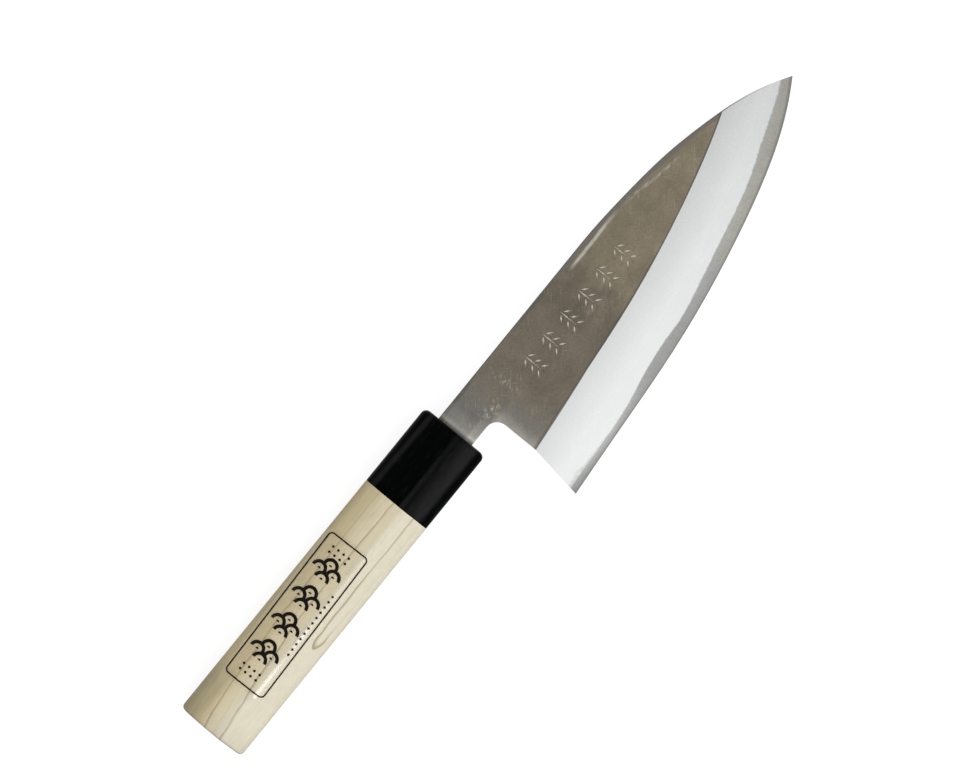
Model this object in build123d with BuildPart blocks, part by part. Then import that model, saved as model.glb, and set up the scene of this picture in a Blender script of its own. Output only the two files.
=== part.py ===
from build123d import *
import os

os.makedirs("parts", exist_ok=True)

# Deba kitchen knife, lying on its flat back with the bevelled face up. Sizes are in millimetres.
# X runs from the butt of the handle to the tip, Y from the cutting edge to the spine, Z is up.
# The origin is in the middle of the knife's outline, level with the back of the handle.

# Handle, a D section with one rounded ridge along its upper face. Offsets are from its middle line
# and drops from the height where its two flanks would meet
handle_length = 135.0
handle_width = 27.0
handle_depth = 21.6
ridge_offset = 3.6
ridge_radius = 3.2
flank_offset = 5.6
flank_drop = 1.7
flank_radius = 19.0
spine_shoulder_drop = 6.2
spine_shoulder_radius = 6.5
edge_shoulder_drop = 5.6
edge_shoulder_radius = 3.8
back_radius = 8.5
butt_round = 1.6

# Ferrule, a moulded cap on the wood's tenon
ferrule_length = 32.6
ferrule_wall = 2.2
ferrule_front_wall = 4.0
ferrule_front_round = 2.2
ferrule_rear_bevel = 0.25
tenon_fit = 0.05
slot_clearance = 0.15
mouth_recess = 0.6

# Neck and tang
neck_width = 15.0
neck_thickness = 5.6
tang_length = 96.0
tang_end_width = 7.0
tang_end_thickness = 3.2
bedding_gap = 0.9
bore_end_gap = 2.0

# Blade, measured from the front of the ferrule and from the middle line of the handle
tip_reach = 171.4
tip_drop = 12.9
tip_thickness = 2.05
spine_straight = 79.0
heel_gap = 12.9
heel_corner_gap = 9.8
heel_drop = 46.5
choil_radius = 4.7
bevel_width_heel = 20.9
bevel_width_tip = 23.9
spine_ease = 0.35

# Hollow ground into the back, inside a flat rim
rim_spine = 3.2
rim_edge = 2.6
rim_heel = 7.0
rim_tip = 14.0
hollow_depth = 0.3

# Label on the handle, measured from the front of the ferrule and from the handle's middle line
label_length = 61.4
label_width = 17.0
label_back = 84.2
label_rise = 2.6
label_turn = 1.7
label_corner_radius = 1.8
label_line_width = 0.5
film_margin = 1.2
glue_thickness = 0.03
film_thickness = 0.1
ink_thickness = 0.05
wave_groups = 4
wave_group_pitch = 11.8
wave_group_rise = 0.9
wave_rows = (1, 2, 1)
wave_row_pitch = 2.75
wave_radius = 3.0
wave_rings = 2
wave_line_width = 1.2
dot_size = 0.8
dot_pitch = 2.3
dot_row_count = 12
dot_row_drop = 6.2
dot_block_rows = 4
dot_block_inset = 5.2

# Chiselled bamboo sprigs on the flat of the blade, each a stem with pairs of leaves
sprig_count = 6
sprig_pitch = 9.9
sprig_start = 36.0
sprig_drop = 0.7
stem_length = 11.0
stem_width = 0.6
leaf_length = 4.0
leaf_width = 0.75
leaf_root_gap = 0.7
leaf_depth = 0.22
leaf_wall_angle = 45
leaf_turn = 48

# One overrun for every cut that runs past the metal, wood or film
overrun = 6.0

# Places along the blade as shares of heel to tip, each with a share of the edge's whole rise
edge_shares = ((0, 0), (0.23, 0.089), (0.49, 0.229), (0.707, 0.443), (0.88, 0.703), (1, 1))
edge_heel_slope_share = 0.28
edge_tip_slope_share = 3.5
# Places along the falling spine as shares of its run, each with a share of its whole fall
spine_shares = ((0, 0), (0.264, 0.062), (0.49, 0.186), (0.64, 0.334), (0.791, 0.532), (0.904, 0.75), (1, 1))
spine_tip_slope_share = 0.63
# Places from heel to tip, each with the hard steel's share of the thickness of the blade there
steel_shares = ((0, 0.13), (0.13, 0.104), (0.22, 0.12), (0.30, 0.185), (0.37, 0.20), (0.44, 0.165),
                (0.52, 0.182), (0.61, 0.205), (0.75, 0.20), (0.86, 0.235), (0.93, 0.20), (1, 0.17))
# Places along the hollow in the back as shares of its run, each with a share of its depth
hollow_shares = ((0, 0.05), (0.12, 0.7), (0.3, 1), (0.55, 1), (0.8, 0.8), (1, 0.05))
# Where a stem or leaf of the ornament is widest, as a share of its length
belly_share = 0.4
# Where the pairs of leaves spring from a stem, as shares of its length
leaf_pair_shares = (0.14, 0.42, 0.68)
# Largest rounding of the handle's far flank, as a share of the width of that flank
flank_round_share = 2.45

# Reference places that follow from the sizes
overall_length = handle_length + tip_reach
ferrule_front_x = handle_length - overall_length / 2
butt_x = ferrule_front_x - handle_length
seam_x = ferrule_front_x - ferrule_length
socket_end_x = ferrule_front_x - ferrule_front_wall
axis_y = (heel_drop - handle_width / 2) / 2
tang_z = handle_depth / 2
blade_back_z = tang_z - neck_thickness / 2
tang_end_x = ferrule_front_x - tang_length
tip_x = ferrule_front_x + tip_reach
tip_y = axis_y - tip_drop
heel_x = ferrule_front_x + heel_gap
heel_corner_x = ferrule_front_x + heel_corner_gap
heel_y = axis_y - heel_drop
spine_y = axis_y + neck_width / 2
neck_low_y = axis_y - neck_width / 2
fall_start_x = ferrule_front_x + spine_straight
blade_run = tip_x - heel_corner_x
edge_rise = tip_y - heel_y
slot_width = neck_width + 2 * slot_clearance
slot_height = neck_thickness + 2 * slot_clearance
film_length = label_length + 2 * film_margin
film_width = label_width + 2 * film_margin
film_top = glue_thickness + film_thickness


def share_between(low, high, share):
    """The value that lies at a share of the way from low to high."""
    return low + (high - low) * share


def read_shares(table, place):
    """Read a table of shares at a place between two of its rows."""
    for (low_place, low_value), (high_place, high_value) in zip(table, table[1:]):
        if place <= high_place:
            return share_between(low_value, high_value, (place - low_place) / (high_place - low_place))
    return table[-1][1]


def thickness_at(x):
    """Thickness under the flat of the blade, which thins evenly from the ferrule to the tip."""
    return share_between(neck_thickness, tip_thickness, (x - ferrule_front_x) / tip_reach)


def edge_y_at(x):
    """Place of the cutting edge at a distance along the knife."""
    return heel_y + edge_rise * read_shares(edge_shares, (x - heel_corner_x) / blade_run)


def spine_y_at(x):
    """Place of the spine at a distance along the knife."""
    place = max(0, (x - fall_start_x) / (tip_x - fall_start_x))
    return share_between(spine_y, tip_y, read_shares(spine_shares, place))


def tang_size(x):
    """Width and thickness of the tang, which tapers from the ferrule's front wall to its end."""
    place = (socket_end_x - x) / (socket_end_x - tang_end_x)
    width = share_between(neck_width, tang_end_width, place)
    thickness = share_between(neck_thickness, tang_end_thickness, place)
    return width, thickness


def handle_section(x, grow=0):
    """Sketch the D section of the handle at a distance along the knife, grown outwards on all sides."""
    near_y = axis_y - handle_width / 2
    far_y = axis_y + handle_width / 2
    flank_y = axis_y + flank_offset
    flank_round = min(flank_radius, flank_round_share * (far_y - flank_y))
    far_side_height = handle_depth - spine_shoulder_drop
    back_round = min(back_radius, far_side_height - spine_shoulder_radius)
    corners = (
        (near_y, 0),
        (far_y, 0),
        (far_y, far_side_height),
        (flank_y, handle_depth - flank_drop),
        (axis_y - ridge_offset, handle_depth),
        (near_y, handle_depth - edge_shoulder_drop),
    )
    radii = (back_round, back_round, spine_shoulder_radius, flank_round, ridge_radius, edge_shoulder_radius)
    with BuildSketch(Plane.YZ.offset(x)) as section:
        with BuildLine():
            FilletPolyline(*corners, radius=radii, close=True)
        make_face()
        if grow:
            offset(amount=grow)
    return section.sketch


def tang_section(x, width, thickness):
    """Sketch a rectangle round the middle line of the tang at a distance along the knife."""
    with BuildSketch(Plane.YZ.offset(x)) as section:
        with Locations((axis_y, tang_z)):
            Rectangle(width, thickness)
    return section.sketch


def add_tang(front_x, back_x, gap=0, mode=Mode.ADD):
    """Loft the tapering tang between two places, with a gap allowed all round it."""
    sections = []
    for x in (front_x, back_x):
        width, thickness = tang_size(x)
        sections.append(tang_section(x, width + 2 * gap, thickness + 2 * gap))
    loft(sections, mode=mode)


def add_label_skin(low, high):
    """Wrap a skin round the handle, from one height above the wood to another, under the whole label."""
    start_x = ferrule_front_x - label_back - film_length
    extrude(handle_section(start_x, high), amount=2 * film_length)
    extrude(handle_section(start_x - overrun, low), amount=2 * (film_length + overrun), mode=Mode.SUBTRACT)


def draw_wave_row(row_x, count):
    """Draw a row of half-round waves in the open sketch, over the rows that stand behind it."""
    first_y = wave_group_rise - (count - 1) * wave_radius
    for column in range(count):
        with Locations((row_x, first_y + 2 * column * wave_radius)):
            for ring in range(wave_rings):
                ring_radius = wave_radius - 2 * ring * wave_line_width
                Circle(ring_radius)
                if ring_radius > wave_line_width:
                    Circle(ring_radius - wave_line_width, mode=Mode.SUBTRACT)
    with Locations((row_x - wave_radius / 2, wave_group_rise)):
        Rectangle(wave_radius, 2 * max(wave_rows) * wave_radius, mode=Mode.SUBTRACT)


def draw_blade_of_leaf(start_x, length, width):
    """Draw one slender leaf in the open sketch, from a distance beyond the place where it springs."""
    belly_x = start_x + belly_share * length
    Polygon((start_x, 0), (belly_x, width / 2), (start_x + length, 0), (belly_x, -width / 2), align=None)


def draw_sprig(top_x, top_y):
    """Draw a bamboo sprig in the open sketch, hanging from its top towards the edge of the blade."""
    hang_turn = -90
    with Locations(Location((top_x, top_y), hang_turn)):
        draw_blade_of_leaf(0, stem_length, stem_width)
    for pair_share in leaf_pair_shares:
        for turn in (hang_turn - leaf_turn, hang_turn + leaf_turn):
            with Locations(Location((top_x, top_y - pair_share * stem_length), turn)):
                draw_blade_of_leaf(leaf_root_gap, leaf_length, leaf_width)


# Space above the bevel and beyond the edge, which is ground off the forging
with BuildPart() as bevel_cutter:
    past_share = 2 * overrun / blade_run
    before_heel = (-past_share, -past_share * edge_heel_slope_share)
    beyond_tip = (1 + past_share, 1 + past_share * edge_tip_slope_share)
    for place_share, rise_share in (before_heel, *edge_shares, beyond_tip):
        station_x = heel_corner_x + place_share * blade_run
        edge_y = heel_y + rise_share * edge_rise
        bevel_width = share_between(bevel_width_heel, bevel_width_tip, place_share)
        slope = thickness_at(station_x) / bevel_width
        low_y = heel_y - 2 * overrun
        high_y = edge_y + bevel_width + overrun
        roof_z = blade_back_z + neck_thickness + 2 * overrun
        with BuildSketch(Plane.YZ.offset(station_x)):
            with BuildLine():
                Polyline(
                    (low_y, blade_back_z + (low_y - edge_y) * slope),
                    (high_y, blade_back_z + (high_y - edge_y) * slope),
                    (high_y, roof_z),
                    (low_y, roof_z),
                    close=True,
                )
            make_face()
    loft()

# Whole forging of tang, neck and blade, before it is parted into its two steels
with BuildPart() as forging:
    with BuildSketch(Plane.XY.offset(blade_back_z)):
        with BuildLine():
            spine_points = [
                (share_between(fall_start_x, tip_x, place_share), share_between(spine_y, tip_y, fall_share))
                for place_share, fall_share in spine_shares
            ]
            past_tip_x = tip_x + overrun
            past_heel_y = heel_y - overrun
            heel_lean_share = (heel_gap - heel_corner_gap) / bevel_width_heel
            Line((socket_end_x, spine_y), (fall_start_x, spine_y))
            Spline(*spine_points, tangents=((1, 0), (1, -spine_tip_slope_share)))
            Polyline(
                (tip_x, tip_y),
                (past_tip_x, tip_y - spine_tip_slope_share * overrun),
                (past_tip_x, past_heel_y),
                (heel_corner_x - heel_lean_share * overrun, past_heel_y),
                (heel_x, heel_y + bevel_width_heel),
                (heel_x, neck_low_y - choil_radius),
            )
            CenterArc((heel_x - choil_radius, neck_low_y - choil_radius), choil_radius, 0, 90)
            Polyline((heel_x - choil_radius, neck_low_y), (socket_end_x, neck_low_y), (socket_end_x, spine_y))
        make_face()
    extrude(amount=neck_thickness)
    # The flat of the blade leans down towards the tip
    with BuildSketch(Plane.XZ):
        with BuildLine():
            wedge_end_x = past_tip_x + overrun
            Polyline(
                (ferrule_front_x, blade_back_z + neck_thickness),
                (wedge_end_x, blade_back_z + thickness_at(wedge_end_x)),
                (wedge_end_x, blade_back_z + neck_thickness + overrun),
                (ferrule_front_x, blade_back_z + neck_thickness + overrun),
                close=True,
            )
        make_face()
    extrude(amount=heel_drop + overrun, both=True, mode=Mode.SUBTRACT)
    add(bevel_cutter.part, mode=Mode.SUBTRACT)
    flat_face = forging.faces().sort_by(Axis.Z)[-1]
    chamfer(flat_face.edges().sort_by(Axis.Y)[-2:], spine_ease)
    add_tang(socket_end_x, tang_end_x)

# Room of the hard steel, everything below the line where the two steels were welded
with BuildPart() as steel_room:
    layer_start_x = min(heel_x, heel_corner_x) - choil_radius
    with BuildSketch(Plane.XZ):
        with BuildLine():
            weld_points = []
            for place_share, depth_share in steel_shares:
                weld_x = heel_corner_x + place_share * blade_run
                weld_points.append((weld_x, blade_back_z + depth_share * thickness_at(weld_x)))
            start_z = weld_points[0][1]
            end_z = weld_points[-1][1]
            Spline((layer_start_x, start_z), *weld_points)
            Polyline(
                weld_points[-1],
                (past_tip_x, end_z),
                (past_tip_x, blade_back_z - overrun),
                (layer_start_x, blade_back_z - overrun),
                (layer_start_x, start_z),
            )
        make_face()
    extrude(amount=heel_drop + overrun, both=True)

# Shallow dish that is hollowed out of the back, inside its flat rim
with BuildPart() as hollow_cutter:
    hollow_start_x = heel_x + rim_heel
    hollow_end_x = tip_x - rim_tip
    for place_share, depth_share in hollow_shares:
        station_x = share_between(hollow_start_x, hollow_end_x, place_share)
        low_y = edge_y_at(station_x) + rim_edge
        high_y = spine_y_at(station_x) - rim_spine
        half_width = (high_y - low_y) / 2
        depth = depth_share * hollow_depth
        dish_radius = (half_width**2 + depth**2) / (2 * depth)
        reach = half_width + rim_edge / 2
        foot_z = blade_back_z + depth - dish_radius + (dish_radius**2 - reach**2) ** 0.5
        middle_y = (high_y + low_y) / 2
        with BuildSketch(Plane.YZ.offset(station_x)):
            with BuildLine():
                left_foot = (middle_y - reach, foot_z)
                right_foot = (middle_y + reach, foot_z)
                ThreePointArc(left_foot, (middle_y, blade_back_z + depth), right_foot)
                Line(right_foot, left_foot)
            make_face()
    loft()

# Hard steel: the thin layer on the back, which comes out at the edge as a wavy band
with BuildPart() as cutting_steel:
    add(forging.part)
    add(steel_room.part, mode=Mode.INTERSECT)
    add(hollow_cutter.part, mode=Mode.SUBTRACT)

cutting_steel.part.label = "cutting_steel"
export_step(cutting_steel.part, "parts/cutting_steel.step")

# Soft steel: the body of the blade with its neck and tang, and sprigs chiselled into the flat
with BuildPart() as blade_cladding:
    add(forging.part)
    add(steel_room.part, mode=Mode.SUBTRACT)
    flat_plane = Plane(
        origin=(ferrule_front_x, axis_y, blade_back_z + neck_thickness),
        x_dir=(tip_reach, 0, tip_thickness - neck_thickness),
        z_dir=(neck_thickness - tip_thickness, 0, tip_reach),
    )
    with BuildSketch(flat_plane):
        for sprig in range(sprig_count):
            draw_sprig(sprig_start + sprig * sprig_pitch, -sprig_drop)
    extrude(amount=-leaf_depth, taper=leaf_wall_angle, mode=Mode.SUBTRACT)

blade_cladding.part.label = "blade_cladding"
export_step(blade_cladding.part, "parts/blade_cladding.step")

# Ferrule, closed in front but for the slot that the neck passes through
with BuildPart() as ferrule:
    extrude(handle_section(seam_x), amount=ferrule_length)
    fillet(ferrule.faces().sort_by(Axis.X)[-1].edges(), ferrule_front_round)
    chamfer(ferrule.faces().sort_by(Axis.X)[0].edges(), ferrule_rear_bevel)
    socket = handle_section(seam_x - overrun, -ferrule_wall)
    extrude(socket, amount=ferrule_length - ferrule_front_wall + overrun, mode=Mode.SUBTRACT)
    slot = tang_section(socket_end_x - overrun, slot_width, slot_height)
    extrude(slot, amount=ferrule_front_wall + 2 * overrun, mode=Mode.SUBTRACT)

ferrule.part.label = "ferrule"
export_step(ferrule.part, "parts/ferrule.step")

# Wooden handle, with a tenon inside the ferrule and a tapering bore for the tang
with BuildPart() as handle_body:
    extrude(handle_section(butt_x), amount=handle_length - ferrule_length)
    fillet(handle_body.faces().sort_by(Axis.X)[0].edges(), butt_round)
    tenon = handle_section(seam_x, -ferrule_wall - tenon_fit)
    extrude(tenon, amount=ferrule_length - ferrule_front_wall)
    add_tang(socket_end_x + overrun, tang_end_x - bore_end_gap, bedding_gap, Mode.SUBTRACT)

handle_body.part.label = "handle_body"
export_step(handle_body.part, "parts/handle_body.step")

# Resin that beds the tang in the bore and closes the slot in the ferrule
with BuildPart() as tang_bedding:
    add_tang(socket_end_x, tang_end_x - bore_end_gap, bedding_gap)
    extrude(tang_section(socket_end_x, slot_width, slot_height), amount=ferrule_front_wall - mouth_recess)
    add(forging.part, mode=Mode.SUBTRACT)

tang_bedding.part.label = "tang_bedding"
export_step(tang_bedding.part, "parts/tang_bedding.step")

# Clear film of the label, laid over the ridge of the handle on a thin coat of glue
label_place = Location((ferrule_front_x - label_back, axis_y + label_rise), label_turn)
with BuildPart() as label_film:
    add_label_skin(glue_thickness, film_top)
    with BuildSketch(Plane.XY.offset(tang_z)):
        with Locations(label_place):
            RectangleRounded(film_length, film_width, label_corner_radius + film_margin)
    extrude(amount=handle_depth, mode=Mode.INTERSECT)

label_film.part.label = "label_film"
export_step(label_film.part, "parts/label_film.step")

# Ink on the film: a thin border, groups of waves and rows of dots
with BuildPart() as label_print:
    add_label_skin(film_top, film_top + ink_thickness)
    with BuildSketch(Plane.XY.offset(tang_z)):
        with Locations(label_place):
            RectangleRounded(label_length, label_width, label_corner_radius)
            inner_length = label_length - 2 * label_line_width
            inner_width = label_width - 2 * label_line_width
            inner_radius = label_corner_radius - label_line_width
            RectangleRounded(inner_length, inner_width, inner_radius, mode=Mode.SUBTRACT)
            for group in range(wave_groups):
                group_x = (group - (wave_groups - 1) / 2) * wave_group_pitch
                for row, count in enumerate(wave_rows):
                    row_x = group_x - (row - (len(wave_rows) - 1) / 2) * wave_row_pitch
                    draw_wave_row(row_x, count)
            with Locations((0, -dot_row_drop)):
                with GridLocations(dot_pitch, dot_pitch, dot_row_count, 1):
                    Rectangle(dot_size, dot_size, rotation=45)
            block_x = label_length / 2 - dot_block_inset
            with Locations((-block_x, wave_group_rise), (block_x, wave_group_rise)):
                with GridLocations(dot_pitch, dot_pitch, 2, dot_block_rows):
                    Rectangle(dot_size, dot_size, rotation=45)
    extrude(amount=handle_depth, mode=Mode.INTERSECT)

label_print.part.label = "label_print"
export_step(label_print.part, "parts/label_print.step")
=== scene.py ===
import logging
import math
from dataclasses import dataclass, field
from enum import Enum
from typing import Sequence, Union

import bpy
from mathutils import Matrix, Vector


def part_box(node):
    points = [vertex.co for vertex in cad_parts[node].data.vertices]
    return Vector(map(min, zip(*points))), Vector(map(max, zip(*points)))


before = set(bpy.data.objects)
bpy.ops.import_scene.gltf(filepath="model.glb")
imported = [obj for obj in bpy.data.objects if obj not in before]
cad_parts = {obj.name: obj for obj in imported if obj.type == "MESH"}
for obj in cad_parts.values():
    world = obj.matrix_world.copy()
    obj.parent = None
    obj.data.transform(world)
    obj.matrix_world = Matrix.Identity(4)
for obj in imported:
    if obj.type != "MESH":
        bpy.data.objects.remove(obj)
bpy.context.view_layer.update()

log = logging.getLogger("deba_knife")
logging.basicConfig(level=logging.INFO, format="%(name)s: %(message)s")

MM = 0.001

Socket = bpy.types.NodeSocket
Value = Union[float, int, Socket]
Colour = tuple[float, float, float]
Tint = Union[Colour, Socket]
Span = tuple[float, float]
Pairs = Sequence[Span]

WHITE: Colour = (1.0, 1.0, 1.0)
# The levels between which most of a cloudy pattern lies
PATTERN_MIDDLE: Span = (0.3, 0.7)
# Sockets of a Mix node that mixes colours: its share, the two colours and the result
MIX_SHARE, MIX_FIRST, MIX_SECOND, MIX_RESULT = 0, 6, 7, 2
# Watts that give a square metre of an area lamp a strength of one
LAMP_POWER = 4.0


class Direction(Enum):
    """Axes of the knife, as the index of a component of a vector."""

    ALONG = 0
    ACROSS = 1
    UP = 2


class Sum(Enum):
    """What a Math node works out, by Blender's names."""

    ADD = "ADD"
    LESS = "SUBTRACT"
    TIMES = "MULTIPLY"
    OVER = "DIVIDE"
    POWER = "POWER"
    ROOT = "SQRT"
    LARGER = "MAXIMUM"
    UNSIGNED = "ABSOLUTE"


class Pace(Enum):
    """How a number goes from one end of a range to the other, by Blender's names."""

    EVEN = "LINEAR"
    EASED = "SMOOTHSTEP"


@dataclass(frozen=True)
class Fade:
    """A soft change between two places, and the strength on its strong side."""

    low: float
    high: float
    strength: float = 1.0


@dataclass(frozen=True)
class Slope:
    """An even change: the two ends of a range, and the numbers that it gives there."""

    low: float
    high: float
    start: Value = 0.0
    end: Value = 1.0


@dataclass(frozen=True)
class Grain:
    """A cloudy pattern: its clouds' size along X, Y and Z, its finer layers, and its turn seen from above.

    The layers are a number of them and their strength, and the turn is in degrees.
    """

    size: tuple[float, float, float]
    layers: float = 2.0
    layer_strength: float = 0.5
    turn: float = 0.0


@dataclass(frozen=True)
class Relief:
    """Depth of a surface's unevenness in metres, and how much of it shows."""

    depth: float
    strength: float


class Tree:
    """Fills one node tree, with a short method for each kind of node that the scene uses."""

    def __init__(self, tree: bpy.types.NodeTree) -> None:
        """Start an empty tree."""
        self.tree = tree
        self.tree.nodes.clear()

    def feed(self, socket: Socket, value: Union[Value, Sequence[float]]) -> None:
        """Link a socket to another one, or set its own value.

        Args:
            socket: The input.
            value: The output that it is linked to, or its value. A colour may lack its fourth number.
        """
        if isinstance(value, bpy.types.NodeSocket):
            self.tree.links.new(value, socket)
        elif socket.type == "RGBA" and len(value) == 3:
            socket.default_value = (*value, 1.0)
        else:
            socket.default_value = value

    def node(self, kind: str, inputs: dict, **settings: object) -> bpy.types.Node:
        """Add a node.

        Args:
            kind: The node's type name.
            inputs: Values or sockets for its inputs, by name or index.
            **settings: Properties of the node itself.

        Returns:
            The new node.
        """
        node = self.tree.nodes.new(kind)
        for key, setting in settings.items():
            setattr(node, key, setting)
        for key, value in inputs.items():
            self.feed(node.inputs[key], value)
        return node

    def math(self, kind: Sum, first: Value, second: Value = 0.0) -> Socket:
        """Work out one number from one or two others."""
        return self.node("ShaderNodeMath", {0: first, 1: second}, operation=kind.value).outputs[0]

    def combine(self, kind: Sum, numbers: Sequence[Value]) -> Socket:
        """Work out one number from several, taken in turn.

        Args:
            kind: What is worked out from each pair.
            numbers: The numbers.

        Returns:
            The last result.
        """
        result = numbers[0]
        for number in numbers[1:]:
            result = self.math(kind, result, number)
        return result

    def total(self, *numbers: Value) -> Socket:
        """Add numbers."""
        return self.combine(Sum.ADD, numbers)

    def product(self, *numbers: Value) -> Socket:
        """Multiply numbers."""
        return self.combine(Sum.TIMES, numbers)

    def largest(self, *numbers: Value) -> Socket:
        """Take the largest of some numbers."""
        return self.combine(Sum.LARGER, numbers)

    def less(self, first: Value, second: Value) -> Socket:
        """Take the second number away from the first."""
        return self.math(Sum.LESS, first, second)

    def share(self, first: Value, second: Value) -> Socket:
        """Give the first number as a share of the second."""
        return self.math(Sum.OVER, first, second)

    def unsigned(self, number: Value) -> Socket:
        """Drop a number's sign."""
        return self.math(Sum.UNSIGNED, number)

    def reach(self, *sides: Value) -> Socket:
        """Distance that two or three sides at right angles to each other make."""
        return self.math(Sum.ROOT, self.total(*(self.product(side, side) for side in sides)))

    def part_of(self, vector: Socket, direction: Direction) -> Socket:
        """Take one component of a vector."""
        return self.node("ShaderNodeSeparateXYZ", {0: vector}).outputs[direction.value]

    def map_range(self, pace: Pace, value: Value, ends: Span, results: Sequence[Value],
                  clamp: bool = True) -> Socket:
        """Map a number from one range to another.

        Args:
            pace: How it goes from one end to the other.
            value: The number.
            ends: The two ends of its own range.
            results: What the two ends become.
            clamp: Whether the result stays between the two results.

        Returns:
            The mapped number.
        """
        inputs = {"Value": value, "From Min": ends[0], "From Max": ends[1],
                  "To Min": results[0], "To Max": results[1]}
        node = self.node("ShaderNodeMapRange", inputs, interpolation_type=pace.value, clamp=clamp)
        return node.outputs[0]

    def rise(self, value: Value, fade: Fade) -> Socket:
        """Ease from zero up to a fade's strength."""
        return self.map_range(Pace.EASED, value, (fade.low, fade.high), (0.0, fade.strength))

    def fall(self, value: Value, fade: Fade) -> Socket:
        """Ease from a fade's strength down to zero."""
        return self.map_range(Pace.EASED, value, (fade.low, fade.high), (fade.strength, 0.0))

    def line(self, value: Value, slope: Slope) -> Socket:
        """Go evenly along a slope, and stay level outside it."""
        return self.map_range(Pace.EVEN, value, (slope.low, slope.high), (slope.start, slope.end))

    def seen(self) -> Socket:
        """One for rays that look at the room, straight on, in a gloss or through something clear."""
        rays = self.node("ShaderNodeLightPath", {}).outputs
        return self.largest(rays["Is Camera Ray"], rays["Is Glossy Ray"], rays["Is Transmission Ray"])


class Graph(Tree):
    """Builds one material, with the patterns and mixes that its finish is made of."""

    def __init__(self, name: str) -> None:
        """Start an empty material.

        Args:
            name: The material's name.
        """
        self.material = bpy.data.materials.new(name)
        self.material.use_nodes = True
        super().__init__(self.material.node_tree)
        coordinates = self.node("ShaderNodeTexCoord", {})
        self.place: Socket = coordinates.outputs["Object"]
        self.along = self.part_of(self.place, Direction.ALONG)
        self.across = self.part_of(self.place, Direction.ACROSS)
        self.up = self.part_of(self.place, Direction.UP)
        self.normal: Socket = coordinates.outputs["Normal"]

    def tilt(self) -> Socket:
        """How upright the surface's normal stands: one on a level face, zero on a wall, minus one below."""
        return self.part_of(self.normal, Direction.UP)

    def pattern(self, grain: Grain) -> Socket:
        """Read a cloudy pattern between 0 and 1.

        Args:
            grain: The pattern's sizes.

        Returns:
            The pattern.
        """
        turn = (0, 0, math.radians(grain.turn))
        stretched = {"Vector": self.place, "Scale": grain.size, "Rotation": turn}
        vector = self.node("ShaderNodeMapping", stretched, vector_type="TEXTURE").outputs[0]
        inputs = {"Vector": vector, "Scale": 1.0, "Detail": grain.layers, "Roughness": grain.layer_strength}
        return self.node("ShaderNodeTexNoise", inputs).outputs[0]

    def sway(self, pattern: Socket, spread: Span) -> Socket:
        """Spread a cloudy pattern, most of which lies near its middle, over a range."""
        return self.map_range(Pace.EVEN, pattern, PATTERN_MIDDLE, spread, clamp=False)

    def mix(self, share: Value, first: Tint, second: Tint) -> Socket:
        """Mix two colours by the share of the second one."""
        inputs = {MIX_SHARE: share, MIX_FIRST: first, MIX_SECOND: second}
        return self.node("ShaderNodeMix", inputs, data_type="RGBA").outputs[MIX_RESULT]

    def shade(self, colour: Tint, *shares: Value) -> Socket:
        """Brighten or darken a colour by one or more factors."""
        inputs = {0: colour, "Scale": self.product(*shares)}
        return self.node("ShaderNodeVectorMath", inputs, operation="SCALE").outputs[0]

    def curve(self, value: Socket, points: Pairs) -> Socket:
        """Read a smooth curve.

        Args:
            value: Where it is read, from 0 to 1.
            points: Points of the curve, as shares of its length and height.

        Returns:
            Its height there, as a share.
        """
        node = self.node("ShaderNodeFloatCurve", {"Value": value})
        curve = node.mapping.curves[0]
        for point, place in zip(curve.points, (points[0], points[-1])):
            point.location = place
        for place in points[1:-1]:
            curve.points.new(*place)
        node.mapping.update()
        return node.outputs[0]

    def bump(self, height: Socket, relief: Relief) -> Socket:
        """Turn a height between 0 and 1 into a bumped normal."""
        inputs = {"Height": height, "Distance": relief.depth, "Strength": relief.strength}
        return self.node("ShaderNodeBump", inputs).outputs[0]

    def finish(self, **inputs: Union[Value, Colour]) -> bpy.types.Material:
        """End the tree in a Principled shader.

        Args:
            **inputs: The shader's inputs, with underscores for the spaces in their names.

        Returns:
            The finished material.
        """
        named = {key.replace("_", " "): value for key, value in inputs.items()}
        shader = self.node("ShaderNodeBsdfPrincipled", named)
        self.node("ShaderNodeOutputMaterial", {"Surface": shader.outputs[0]})
        return self.material


@dataclass(frozen=True)
class Stretch:
    """A stretch that eases in and out again."""

    start: Fade
    end: Fade

    def mask(self, graph: Graph, place: Socket) -> Socket:
        """Strength of the stretch at a place."""
        return graph.product(graph.rise(place, self.start), graph.fall(place, self.end))


@dataclass(frozen=True)
class Marks:
    """Marks that a surface has where a cloudy pattern rises past a level."""

    grain: Grain
    level: Fade

    def mask(self, graph: Graph) -> Socket:
        """Strength of the marks, which is zero between them."""
        return graph.rise(graph.pattern(self.grain), self.level)


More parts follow.
